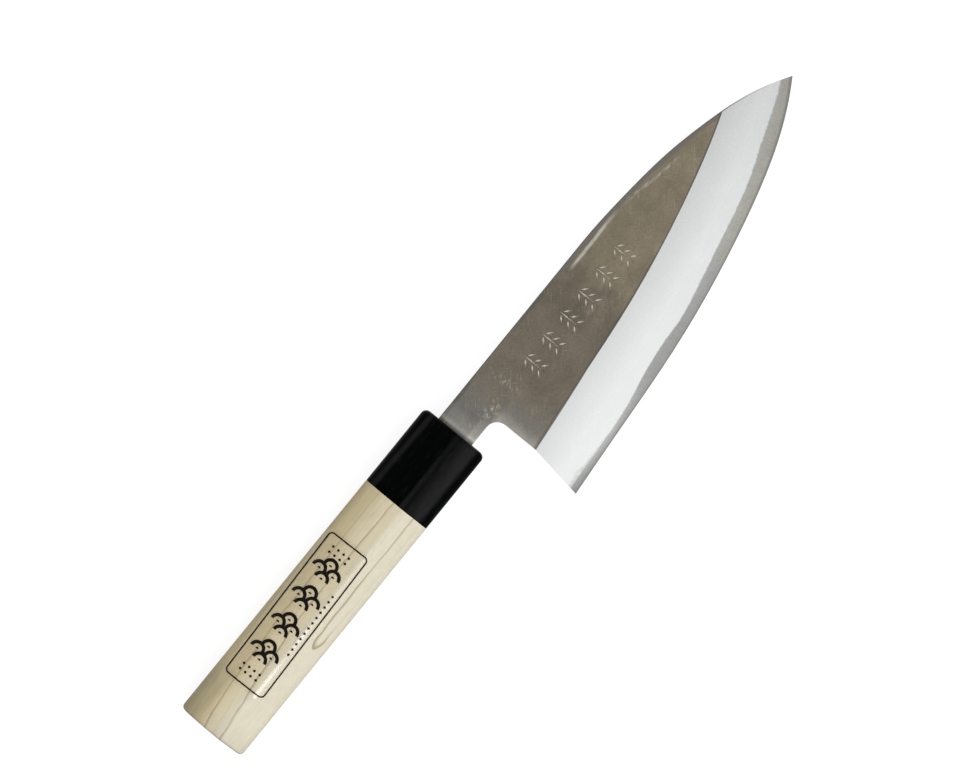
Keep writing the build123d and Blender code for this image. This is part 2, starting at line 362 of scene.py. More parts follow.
@dataclass(frozen=True)
class BladeForm:
    """The blade's lines as the finishes follow them.

    The ends of the blade and its middle line are read from the frame. Shares are of the way from the heel's
    corner to the tip, or from the end of the straight spine, and of the rise, the fall or the thickness.
    """

    spine_straight: float = 79 * MM
    tip_drop: float = 12.9 * MM
    neck_thickness: float = 5.6 * MM
    tip_thickness: float = 2.05 * MM
    heel_gap: float = 12.4 * MM
    heel_corner_gap: float = 9.8 * MM
    bevel_width_heel: float = 20.9 * MM
    bevel_width_tip: float = 23.9 * MM
    edge_shares: Pairs = ((0, 0), (0.23, 0.089), (0.49, 0.229), (0.707, 0.443), (0.88, 0.703), (1, 1))
    spine_shares: Pairs = ((0, 0), (0.264, 0.062), (0.49, 0.186), (0.64, 0.334), (0.791, 0.532),
                           (0.904, 0.75), (1, 1))
    steel_shares: Pairs = ((0, 0.13), (0.13, 0.104), (0.22, 0.12), (0.30, 0.185), (0.37, 0.20),
                           (0.44, 0.165), (0.52, 0.182), (0.61, 0.205), (0.75, 0.20), (0.86, 0.235),
                           (0.93, 0.20), (1, 0.17))

    @property
    def front_x(self) -> float:
        """Where the neck leaves the ferrule."""
        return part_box("ferrule")[1].x

    @property
    def axis_y(self) -> float:
        """Middle line of the handle and the neck."""
        low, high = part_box("ferrule")
        return (low.y + high.y) / 2

    @property
    def tip_x(self) -> float:
        """Place of the tip along the knife."""
        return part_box("cutting_steel")[1].x

    @property
    def spine_y(self) -> float:
        """Place of the straight part of the spine."""
        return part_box("cutting_steel")[1].y

    @property
    def heel_y(self) -> float:
        """Place of the heel's corner across the knife."""
        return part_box("cutting_steel")[0].y

    @property
    def back_z(self) -> float:
        """Height of the flat back of the blade."""
        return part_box("cutting_steel")[0].z

    def from_ferrule(self, graph: Graph) -> Socket:
        """Distance along the knife from the front of the ferrule."""
        return graph.less(graph.along, self.front_x)

    def off_axis(self, graph: Graph) -> Socket:
        """Distance across the knife from the handle's middle line, towards the spine."""
        return graph.less(graph.across, self.axis_y)

    def from_heel(self, graph: Graph) -> Socket:
        """Distance along the blade as a share of the way from the heel's corner to the tip."""
        return graph.line(graph.along, Slope(self.front_x + self.heel_corner_gap, self.tip_x))

    def below_spine(self, graph: Graph) -> Socket:
        """Measure from the spine towards the edge, following the curve of the spine.

        Args:
            graph: The material that is built.

        Returns:
            The distance, across the knife.
        """
        place = graph.line(graph.along, Slope(self.front_x + self.spine_straight, self.tip_x))
        whole_fall = self.spine_y - (self.axis_y - self.tip_drop)
        dropped = graph.product(graph.curve(place, self.spine_shares), whole_fall)
        return graph.less(graph.less(self.spine_y, dropped), graph.across)

    def above_ridge(self, graph: Graph) -> Socket:
        """Measure towards the spine from the line where the bevel meets the flat.

        Args:
            graph: The material that is built.

        Returns:
            The distance, across the knife.
        """
        place = self.from_heel(graph)
        whole_rise = self.axis_y - self.tip_drop - self.heel_y
        edge = graph.product(graph.curve(place, self.edge_shares), whole_rise)
        width = graph.line(place, Slope(0.0, 1.0, self.bevel_width_heel, self.bevel_width_tip))
        return graph.less(graph.across, graph.total(edge, width, self.heel_y))

    def height(self, graph: Graph) -> Socket:
        """Height above the flat back."""
        return graph.less(graph.up, self.back_z)

    def thickness(self, graph: Graph) -> Socket:
        """Thickness under the flat of the blade, at the same distance along the knife."""
        taper = Slope(self.front_x, self.tip_x, self.neck_thickness, self.tip_thickness)
        return graph.line(graph.along, taper)

    def weld_height(self, graph: Graph) -> Socket:
        """Height of the weld line between the two steels, at the same distance along the knife."""
        return graph.product(graph.curve(self.from_heel(graph), self.steel_shares), self.thickness(graph))


@dataclass(frozen=True)
class Patch:
    """A patch on the flat: its middle from the ferrule and the axis, and its reach both ways."""

    along: float
    across: float
    half_length: float
    half_width: float

    def mask(self, graph: Graph, form: BladeForm) -> Socket:
        """Mark the patch.

        Args:
            graph: The material that is built.
            form: The blade's lines.

        Returns:
            One in the middle of the patch, easing to zero at its rim.
        """
        off_x = graph.share(graph.less(form.from_ferrule(graph), self.along), self.half_length)
        off_y = graph.share(graph.less(form.off_axis(graph), self.across), self.half_width)
        return graph.fall(graph.reach(off_x, off_y), Fade(0.0, 1.0))


@dataclass(frozen=True)
class SoftSteelFinish:
    """Soft steel: a brownish, hand-worn flat, a white satin bevel and ground walls.

    Places along the blade count from the front of the ferrule, and those across it from the handle's middle
    line. A tilt says how upright a face's normal stands.
    """

    near_colour: Colour = (0.203, 0.174, 0.134)
    far_colour: Colour = (0.268, 0.230, 0.164)
    cool_colour: Colour = (0.208, 0.200, 0.184)
    spine_colour: Colour = (0.205, 0.192, 0.166)
    seam_colour: Colour = (0.120, 0.118, 0.108)
    worn_colour: Colour = (0.660, 0.625, 0.550)
    bevel_colour: Colour = (0.432, 0.437, 0.435)
    brink_colour: Colour = (0.090, 0.083, 0.072)
    haze_colour: Colour = (0.262, 0.266, 0.266)
    wall_colour: Colour = (0.520, 0.510, 0.480)
    ease_colour: Colour = (0.110, 0.108, 0.100)

    # Tilts between the flat, the bevel, the eased rims and the walls
    bevel_tilt: Fade = Fade(0.9970, 0.9985)
    steep_tilt: Fade = Fade(0.90, 0.95)
    ease_tilt: Fade = Fade(0.80, 0.95)
    wall_tilt: Fade = Fade(0.2, 0.5)

    # Chiselled leaves
    groove_depth: Fade = Fade(0.03 * MM, 0.07 * MM)
    groove_below_spine: Fade = Fade(1.0 * MM, 1.5 * MM)
    groove_above_ridge: Fade = Fade(0.5 * MM, 1.0 * MM)

    # Clouds and tones of the flat
    clouds: Grain = Grain((9 * MM, 7 * MM, 9 * MM), 4, 0.6)
    grains: Grain = Grain((0.9 * MM, 0.7 * MM, 0.9 * MM), 3, 0.6)
    wide_clouds: Grain = Grain((40 * MM, 22 * MM, 40 * MM), 2)
    cloud_shades: Span = (0.88, 1.12)
    grain_shades: Span = (0.90, 1.10)
    wide_shades: Span = (0.95, 1.05)
    cloud_drift: Span = (-8 * MM, 8 * MM)
    far_fade: Fade = Fade(60 * MM, 80 * MM)
    cool_fade: Fade = Fade(6 * MM, 30 * MM)
    dull_stretch: Stretch = Stretch(Fade(50 * MM, 60 * MM, 0.15), Fade(63 * MM, 73 * MM))
    dim_patch: Patch = Patch(82 * MM, -15.75 * MM, 14 * MM, 7 * MM)
    dim_strength: float = 0.18

    # Band and dark rim along the spine, and the dark seam along the ridge
    spine_drift: Span = (-0.3 * MM, 0.3 * MM)
    band_width: Slope = Slope(30 * MM, 75 * MM, 0.5 * MM, 1.6 * MM)
    band_fade: Fade = Fade(-0.3 * MM, 0.4 * MM, 0.85)
    near_rim_end: Fade = Fade(15 * MM, 22 * MM)
    far_rim: Stretch = Stretch(Fade(38 * MM, 48 * MM), Fade(58 * MM, 68 * MM))
    rim_fade: Fade = Fade(0.9 * MM, 1.7 * MM, 0.24)
    seam_fade: Fade = Fade(0.4 * MM, 0.85 * MM, 0.75)

    # Painted shadow at the mouth of the ferrule, a brighter stretch of the neck in front of it, and the
    # pale rims of the neck and the heel
    mouth_shadow: Span = (0.18 * MM, 1.8 * MM)
    mouth_shades: Span = (0.35, 1.0)
    near_brightening: Fade = Fade(1.4 * MM, 3.5 * MM, 0.66)
    far_brightening: Fade = Fade(3.5 * MM, 9.0 * MM, 0.40)
    neck_rim_across: Fade = Fade(-5.0 * MM, -3.6 * MM, 0.40)
    neck_rim_along: Fade = Fade(8 * MM, 11 * MM)
    heel_rim_across: Fade = Fade(-9.5 * MM, -6.5 * MM)
    heel_rim_reach: float = 4.8 * MM
    heel_rim_strength: float = 0.80
    heel_glow_reach: float = 15.36 * MM
    heel_glow_strength: float = 0.30

    # Rubbed streaks below the spine
    wear_drop: float = 2.8 * MM
    wear_climb: Fade = Fade(74 * MM, 98 * MM, 0.85 * MM)
    wear_dip: Fade = Fade(98 * MM, 118 * MM, 1.8 * MM)
    wear_wander: Grain = Grain((14 * MM, 3 * MM, 3 * MM), 2)
    wear_drift: Span = (-0.15 * MM, 0.15 * MM)
    wear_width: Fade = Fade(0.3125 * MM, 0.875 * MM)
    long_wear: Stretch = Stretch(Fade(68 * MM, 74 * MM), Fade(86 * MM, 98 * MM))
    broken_wear: Stretch = Stretch(Fade(96 * MM, 106 * MM, 0.6), Fade(118 * MM, 128 * MM))
    flecks: Grain = Grain((3.2 * MM, 0.5 * MM, 0.5 * MM), 4, 0.65)
    broken_level: Fade = Fade(0.42, 0.60)
    rubbed_level: Fade = Fade(0.24, 0.50, 0.80)

    # Scratches, sparse in some places and crowded in patches round the choil
    strokes: tuple[Marks, ...] = (
        Marks(Grain((7 * MM, 0.22 * MM, 3 * MM), 2, 0.5, turn=38), Fade(0.62, 0.72)),
        Marks(Grain((5 * MM, 0.20 * MM, 3 * MM), 2, 0.5, turn=-52), Fade(0.64, 0.74)))
    scratched_places: Marks = Marks(Grain((12 * MM, 9 * MM, 12 * MM), 2), Fade(0.45, 0.62, 0.42))
    blots: Marks = Marks(Grain((1.6 * MM, 0.8 * MM, 1.6 * MM), 3, 0.6, turn=30), Fade(0.50, 0.66, 0.8))
    patches: tuple[Patch, ...] = (
        Patch(13.8 * MM, -5.0 * MM, 7.0 * MM, 4.6 * MM),
        Patch(24.6 * MM, -2.6 * MM, 2.2 * MM, 9.0 * MM),
        Patch(8.5 * MM, -4.2 * MM, 5.0 * MM, 1.6 * MM))
    scratch_strength: float = 0.8
    scratch_depth: float = 1.5

    # Bevel, with the haze along the weld line, the worn brink near the heel and a thin line at the spine
    satin: Grain = Grain((18 * MM, 9 * MM, 18 * MM), 3, 0.6)
    satin_shades: Span = (0.975, 1.02)
    bevel_slope: Slope = Slope(-12 * MM, -0.5 * MM, 1.06, 0.885)
    fringe: Grain = Grain((1.4 * MM, 1.6 * MM, 6 * MM), 5, 0.75, turn=12)
    fringe_spread: Span = (-0.5, 0.5)
    haze_reach: Slope = Slope(15 * MM, 34 * MM, 0.50 * MM, 0.07 * MM)
    haze_fade: Fade = Fade(0.0, 1.1)
    haze_strength: Slope = Slope(16 * MM, 34 * MM, 0.62, 0.95)
    brink_width: float = 0.55 * MM
    brink_reach: float = 48 * MM
    brink_edge: Fade = Fade(-0.15 * MM, 0.15 * MM)
    brink_end: Fade = Fade(42 * MM, 50 * MM)
    thin_line: Fade = Fade(0.15 * MM, 0.6 * MM, 0.85)
    thin_line_end: Fade = Fade(150 * MM, 169 * MM)

    # Walls and surface
    ground: Grain = Grain((0.25 * MM, 8 * MM, 5 * MM), 3, 0.6)
    ground_shades: Span = (0.86, 1.08)
    brushed: Grain = Grain((0.18 * MM, 9 * MM, 9 * MM), 2)
    pits: Grain = Grain((0.5 * MM, 0.4 * MM, 0.5 * MM), 2)
    flat_roughness: float = 0.38
    bevel_roughness: float = 0.30
    roughness_spread: Span = (-0.03, 0.03)
    relief: Relief = Relief(0.002 * MM, 0.5)

    def bevel_mask(self, graph: Graph) -> Socket:
        """One on the ground bevel, which leans a little, and zero on the level flat and the steep walls."""
        tilt = graph.tilt()
        return graph.product(graph.fall(tilt, self.bevel_tilt), graph.rise(tilt, self.steep_tilt))

    def wall_mask(self, graph: Graph) -> Socket:
        """One on the spine, the heel and the choil, which stand upright."""
        return graph.fall(graph.unsigned(graph.tilt()), self.wall_tilt)

    def groove_mask(self, graph: Graph, form: BladeForm) -> Socket:
        """Find the chiselled leaves, which lie deeper than the flat round them.

        Args:
            graph: The material that is built.
            form: The blade's lines.

        Returns:
            One inside the leaves.
        """
        depth = graph.less(form.thickness(graph), form.height(graph))
        on_flat = graph.product(graph.rise(form.below_spine(graph), self.groove_below_spine),
                                graph.rise(form.above_ridge(graph), self.groove_above_ridge))
        return graph.product(graph.rise(depth, self.groove_depth), on_flat)

    def cloudy_tint(self, graph: Graph, form: BladeForm, clouds: Socket) -> Socket:
        """Colour the flat: brownish steel with clouds, cooler at the neck.

        Args:
            graph: The material that is built.
            form: The blade's lines.
            clouds: The pattern of the clouds.

        Returns:
            The colour.
        """
        along = form.from_ferrule(graph)
        drifted = graph.total(along, graph.sway(clouds, self.cloud_drift))
        tint = graph.mix(graph.rise(drifted, self.far_fade), self.near_colour, self.far_colour)
        tint = graph.mix(graph.fall(drifted, self.cool_fade), tint, self.cool_colour)
        dull = graph.total(self.dull_stretch.mask(graph, along),
                           graph.product(self.dim_patch.mask(graph, form), self.dim_strength))
        wide_clouds = graph.sway(graph.pattern(self.wide_clouds), self.wide_shades)
        grains = graph.sway(graph.pattern(self.grains), self.grain_shades)
        return graph.shade(tint, wide_clouds, graph.sway(clouds, self.cloud_shades), grains,
                           graph.less(1.0, dull))

    def spine_tint(self, graph: Graph, form: BladeForm, clouds: Socket, tint: Socket) -> Socket:
        """Add the cooler band along the spine, and the dark rim in two stretches.

        Args:
            graph: The material that is built.
            form: The blade's lines.
            clouds: The pattern of the clouds, which the band's edge follows.
            tint: The colour of the flat.

        Returns:
            The colour with the band and the rim.
        """
        along = form.from_ferrule(graph)
        drop = graph.total(form.below_spine(graph), graph.sway(clouds, self.spine_drift))
        past_band = graph.less(drop, graph.line(along, self.band_width))
        tint = graph.mix(graph.fall(past_band, self.band_fade), tint, self.spine_colour)
        stretches = graph.total(graph.fall(along, self.near_rim_end), self.far_rim.mask(graph, along))
        rim = graph.product(stretches, graph.fall(drop, self.rim_fade))
        return graph.shade(tint, graph.less(1.0, rim))

    def mouth_level(self, graph: Graph, form: BladeForm) -> Socket:
        """Paint a shadow at the mouth of the ferrule, and brighten the neck in front of it.

        Args:
            graph: The material that is built.
            form: The blade's lines.

        Returns:
            The factor for the flat's colour.
        """
        along = form.from_ferrule(graph)
        # Painted shadow in front of the ferrule, easing out within two millimetres
        shadow = graph.map_range(Pace.EASED, along, self.mouth_shadow, self.mouth_shades)
        # A brighter stretch of the neck in front of the painted shadow
        brightening = graph.total(graph.fall(along, self.near_brightening), graph.fall(along, self.far_brightening), 1.0)
        return graph.product(shadow, brightening)

    def rim_level(self, graph: Graph, form: BladeForm) -> Socket:
        """Brighten the flat along the neck's lower edge and down the heel.

        Args:
            graph: The material that is built.
            form: The blade's lines.

        Returns:
            The factor for the flat's colour.
        """
        along = form.from_ferrule(graph)
        off = form.off_axis(graph)
        heel = form.heel_gap
        neck_rim = graph.product(graph.fall(off, self.neck_rim_across),
                                 graph.fall(along, self.neck_rim_along))
        narrow = graph.line(along, Slope(heel, heel + self.heel_rim_reach, self.heel_rim_strength, 0.0))
        broad = graph.line(along, Slope(heel, heel + self.heel_glow_reach, self.heel_glow_strength, 0.0))
        heel_rim = graph.product(graph.total(narrow, broad), graph.fall(off, self.heel_rim_across))
        return graph.total(neck_rim, heel_rim, 1.0)

    def flat_tint(self, graph: Graph, form: BladeForm) -> Socket:
        """Colour the flat with its clouds, its rims and its seam along the ridge.

        Args:
            graph: The material that is built.
            form: The blade's lines.

        Returns:
            The colour.
        """
        clouds = graph.pattern(self.clouds)
        tint = self.spine_tint(graph, form, clouds, self.cloudy_tint(graph, form, clouds))
        tint = graph.mix(graph.fall(form.above_ridge(graph), self.seam_fade), tint, self.seam_colour)
        tint = graph.shade(tint, self.mouth_level(graph, form), self.rim_level(graph, form))
        return graph.mix(graph.fall(graph.tilt(), self.ease_tilt), tint, self.ease_colour)

    def spine_wear(self, graph: Graph, form: BladeForm) -> Socket:
        """Rub bright streaks a little below the spine, in a long and a broken stretch.

        Args:
            graph: The material that is built.
            form: The blade's lines.

        Returns:
            The strength of the streaks.
        """
        along = form.from_ferrule(graph)
        wander = graph.sway(graph.pattern(self.wear_wander), self.wear_drift)
        lane_drop = graph.total(graph.less(self.wear_drop, graph.rise(along, self.wear_climb)),
                                graph.rise(along, self.wear_dip))
        drop = graph.total(form.below_spine(graph), wander)
        lane = graph.fall(graph.unsigned(graph.less(drop, lane_drop)), self.wear_width)
        flecks = graph.pattern(self.flecks)
        broken = graph.product(self.broken_wear.mask(graph, along), graph.rise(flecks, self.broken_level))
        strength = graph.total(self.long_wear.mask(graph, along), broken)
        return graph.product(lane, strength, graph.rise(flecks, self.rubbed_level))

    def scratches(self, graph: Graph, form: BladeForm) -> Socket:
        """Score fine slanting scratches, sparse over the flat and crowded round the choil.

        Args:
            graph: The material that is built.
            form: The blade's lines.

        Returns:
            The strength of the scratches.
        """
        strokes = graph.largest(*(marks.mask(graph) for marks in self.strokes))
        near = graph.largest(*(patch.mask(graph, form) for patch in self.patches))
        scored = graph.product(strokes, graph.largest(self.scratched_places.mask(graph), near))
        return graph.largest(scored, graph.product(self.blots.mask(graph), near))

    def hazy_bevel(self, graph: Graph, form: BladeForm) -> Socket:
        """Colour the bevel: satin white, with a grey haze rising from the weld line.

        Args:
            graph: The material that is built.
            form: The blade's lines.

        Returns:
            The colour.
        """
        along = form.from_ferrule(graph)
        satin = graph.sway(graph.pattern(self.satin), self.satin_shades)
        white = graph.shade(self.bevel_colour, satin, graph.line(form.above_ridge(graph), self.bevel_slope))
        above_weld = graph.less(form.height(graph), form.weld_height(graph))
        fringe = graph.sway(graph.pattern(self.fringe), self.fringe_spread)
        climb = graph.total(graph.share(above_weld, graph.line(along, self.haze_reach)), fringe)
        haze = graph.product(graph.fall(climb, self.haze_fade), graph.line(along, self.haze_strength))
        return graph.mix(haze, white, self.haze_colour)

    def bevel_tint(self, graph: Graph, form: BladeForm) -> Socket:
        """Colour the bevel with its worn brink near the heel and the thin line at the spine.

        Args:
            graph: The material that is built.
            form: The blade's lines.

        Returns:
            The colour.
        """
        along = form.from_ferrule(graph)
        width = graph.line(along, Slope(form.heel_gap, self.brink_reach, self.brink_width, 0.0))
        brink = graph.rise(graph.total(form.above_ridge(graph), width), self.brink_edge)
        brink = graph.product(brink, graph.fall(along, self.brink_end))
        tint = graph.mix(brink, self.hazy_bevel(graph, form), self.brink_colour)
        thin_line = graph.product(graph.fall(form.below_spine(graph), self.thin_line),
                                  graph.fall(along, self.thin_line_end))
        return graph.mix(thin_line, tint, self.seam_colour)

    def build(self, form: BladeForm) -> bpy.types.Material:
        """Build the material.

        Args:
            form: The blade's lines.

        Returns:
            The finished material.
        """
        graph = Graph("soft_steel")
        bevel = self.bevel_mask(graph)
        scratches = self.scratches(graph, form)
        scored = graph.product(scratches, self.scratch_strength)
        flat = graph.mix(scored, self.flat_tint(graph, form), self.worn_colour)
        bright = graph.largest(self.spine_wear(graph, form), self.groove_mask(graph, form))
        flat = graph.mix(bright, flat, self.worn_colour)
        wall = graph.shade(self.wall_colour, graph.sway(graph.pattern(self.ground), self.ground_shades))
        colour = graph.mix(bevel, flat, self.bevel_tint(graph, form))
        colour = graph.mix(self.wall_mask(graph), colour, wall)
        pits = graph.pattern(self.pits)
        relief = graph.less(graph.mix(bevel, pits, graph.pattern(self.brushed)),
                            graph.product(scratches, self.scratch_depth))
        rough = graph.total(graph.line(bevel, Slope(0.0, 1.0, self.flat_roughness, self.bevel_roughness)),
                            graph.sway(pits, self.roughness_spread))
        return graph.finish(Base_Color=colour, Metallic=1.0, Roughness=rough,
                            Normal=graph.bump(relief, self.relief))


@dataclass(frozen=True)
class HardSteelFinish:
    """Hard steel: a matte, cloudy band at the edge with a honed line, and a ground back."""

    band_colour: Colour = (0.262, 0.264, 0.252)
    warm_colour: Colour = (0.290, 0.282, 0.250)
    light_colour: Colour = (0.420, 0.424, 0.422)
    honed_colour: Colour = (0.165, 0.163, 0.155)
    back_colour: Colour = (0.560, 0.560, 0.550)

    # Clouds, grains and ground lines
    clouds: Grain = Grain((7 * MM, 3 * MM, 7 * MM), 4, 0.65)
    grains: Grain = Grain((0.5 * MM, 0.4 * MM, 0.5 * MM), 3, 0.6)
    strokes: Grain = Grain((0.4 * MM, 3 * MM, 6 * MM), 3, 0.6, turn=12)
    back_lines: Grain = Grain((0.3 * MM, 14 * MM, 14 * MM), 3, 0.6)
    cloud_shades: Span = (0.90, 1.10)
    grain_shades: Span = (0.93, 1.07)
    stroke_shades: Span = (0.94, 1.06)
    back_line_shades: Span = (0.90, 1.06)
    back_cloud_shades: Span = (0.96, 1.04)

    # Tones along the band, from the front of the ferrule, and up it
    warm_fade: Fade = Fade(95 * MM, 125 * MM)
    light_slope: Slope = Slope(0.15, 1.0, 0.0, 0.9)
    light_heel: Fade = Fade(30 * MM, 62 * MM)
    light_strength: Slope = Slope(0.0, 1.0, 0.30, 1.0)
    heel_shade: Slope = Slope(10.5 * MM, 34 * MM, 0.66, 0.90)
    tip_shade: Slope = Slope(80 * MM, 110 * MM, 1.0, 1.14)
    honed_drift: Span = (-0.01 * MM, 0.01 * MM)
    honed_height: Fade = Fade(0.05 * MM, 0.15 * MM, 0.7)

    # Surface
    under_tilt: Fade = Fade(-0.9, -0.5)
    band_roughness: float = 0.48
    back_roughness: float = 0.28
    roughness_spread: Span = (-0.03, 0.03)
    relief: Relief = Relief(0.002 * MM, 0.5)

    def band_tint(self, graph: Graph, form: BladeForm, clouds: Socket, grains: Socket) -> Socket:
        """Colour the band at the edge, paler towards the weld line near the heel.

        Args:
            graph: The material that is built.
            form: The blade's lines.
            clouds: The pattern of the clouds.
            grains: The pattern of the grains.

        Returns:
            The colour.
        """
        along = form.from_ferrule(graph)
        height = form.height(graph)
        band = graph.mix(graph.rise(along, self.warm_fade), self.band_colour, self.warm_colour)
        light = graph.product(graph.line(graph.share(height, form.weld_height(graph)), self.light_slope),
                              graph.line(graph.fall(along, self.light_heel), self.light_strength))
        band = graph.mix(light, band, self.light_colour)
        band = graph.shade(band, graph.sway(clouds, self.cloud_shades),
                           graph.sway(grains, self.grain_shades),
                           graph.sway(graph.pattern(self.strokes), self.stroke_shades),
                           graph.line(along, self.heel_shade), graph.line(along, self.tip_shade))
        ragged = graph.total(height, graph.sway(clouds, self.honed_drift))
        return graph.mix(graph.fall(ragged, self.honed_height), band, self.honed_colour)

    def build(self, form: BladeForm) -> bpy.types.Material:
        """Build the material.

        Args:
            form: The blade's lines.

        Returns:
            The finished material.
        """
        graph = Graph("hard_steel")
        clouds = graph.pattern(self.clouds)
        grains = graph.pattern(self.grains)
        lines = graph.pattern(self.back_lines)
        band = self.band_tint(graph, form, clouds, grains)
        back = graph.shade(self.back_colour, graph.sway(lines, self.back_line_shades),
                           graph.sway(clouds, self.back_cloud_shades))
        under = graph.fall(graph.tilt(), self.under_tilt)
        rough = graph.total(graph.line(under, Slope(0.0, 1.0, self.band_roughness, self.back_roughness)),
                            graph.sway(clouds, self.roughness_spread))
        return graph.finish(Base_Color=graph.mix(under, band, back), Metallic=1.0, Roughness=rough,
                            Normal=graph.bump(graph.mix(under, grains, lines), self.relief))


@dataclass(frozen=True)
class MouldedResinFinish:
    """Black moulded resin of the ferrule: deep and glossy, with greyer bands of painted sheen that stand in
    for reflections.
    """

    body_colour: Colour = (0.0013, 0.0015, 0.0016)
    mark_colour: Colour = (0.0050, 0.0054, 0.0054)
    # Grey of the painted sheen, which stands in for reflections
    painted_sheen_colour: Colour = (0.0215, 0.0225, 0.0215)
    swirls: Grain = Grain((5 * MM, 1.2 * MM, 1.2 * MM), 4, 0.7)
    mark_level: Fade = Fade(0.50, 0.75)
    specks: Marks = Marks(Grain((0.6 * MM, 0.6 * MM, 0.6 * MM), 2), Fade(0.62, 0.75, 0.12))

    # Painted sheen across the ferrule, from its middle line, and along it, from its front
    broad_start: Fade = Fade(-11.3 * MM, -9.3 * MM)
    broad_slope: Slope = Slope(-8.8 * MM, -2.4 * MM, 0.78, 0.0)
    ridge_sheen: Stretch = Stretch(Fade(-3.4 * MM, -2.2 * MM), Fade(-1.7 * MM, -0.6 * MM))
    ridge_strength: Slope = Slope(-40 * MM, -5 * MM, 0.55, 0.24)
    slim_sheen: Stretch = Stretch(Fade(9.0 * MM, 10.2 * MM, 0.55), Fade(10.8 * MM, 12.0 * MM))
    slim_drift: Slope = Slope(-45 * MM, 0.0, 0.6 * MM, -0.6 * MM)
    sheen_shades: Span = (0.75, 1.1)

    # Surface
    roughnesses: Span = (0.20, 0.28)
    index: float = 1.06
    relief: Relief = Relief(0.008 * MM, 0.25)

    def painted_sheen_mask(self, graph: Graph, form: BladeForm) -> Socket:
        """Lay the painted sheen, which stands in for reflections: broad on the edge's side, slim below the
        ridge and near the back.

        Args:
            graph: The material that is built.
            form: The blade's lines, which the haze is placed from.

        Returns:
            The strength of the painted sheen.
        """
        off = form.off_axis(graph)
        along = form.from_ferrule(graph)
        broad = graph.product(graph.rise(off, self.broad_start), graph.line(off, self.broad_slope))
        ridge = graph.product(self.ridge_sheen.mask(graph, off), graph.line(along, self.ridge_strength))
        slim = self.slim_sheen.mask(graph, graph.less(off, graph.line(along, self.slim_drift)))
        return graph.total(broad, ridge, slim)

    def build(self, form: BladeForm) -> bpy.types.Material:
        """Build the material.

        Args:
            form: The blade's lines, which the painted sheen is placed from.

        Returns:
            The finished material.
        """
        graph = Graph("black_resin")
        swirls = graph.pattern(self.swirls)
        colour = graph.mix(graph.rise(swirls, self.mark_level), self.body_colour, self.mark_colour)
        # Painted sheen: a greyer colour in bands where the lamps' reflections fall
        sheen = graph.product(self.painted_sheen_mask(graph, form), graph.sway(swirls, self.sheen_shades))
        colour = graph.mix(sheen, colour, self.painted_sheen_colour)
        rough = graph.total(graph.sway(swirls, self.roughnesses), self.specks.mask(graph))
        return graph.finish(Base_Color=colour, Roughness=rough, IOR=self.index,
                            Normal=graph.bump(swirls, self.relief))


@dataclass(frozen=True)
class GrowthLine:
    """A dark growth line: its distance from the middle of the loop, and its strength at both ends."""

    distance: float
    at_ferrule: float
    at_butt: float


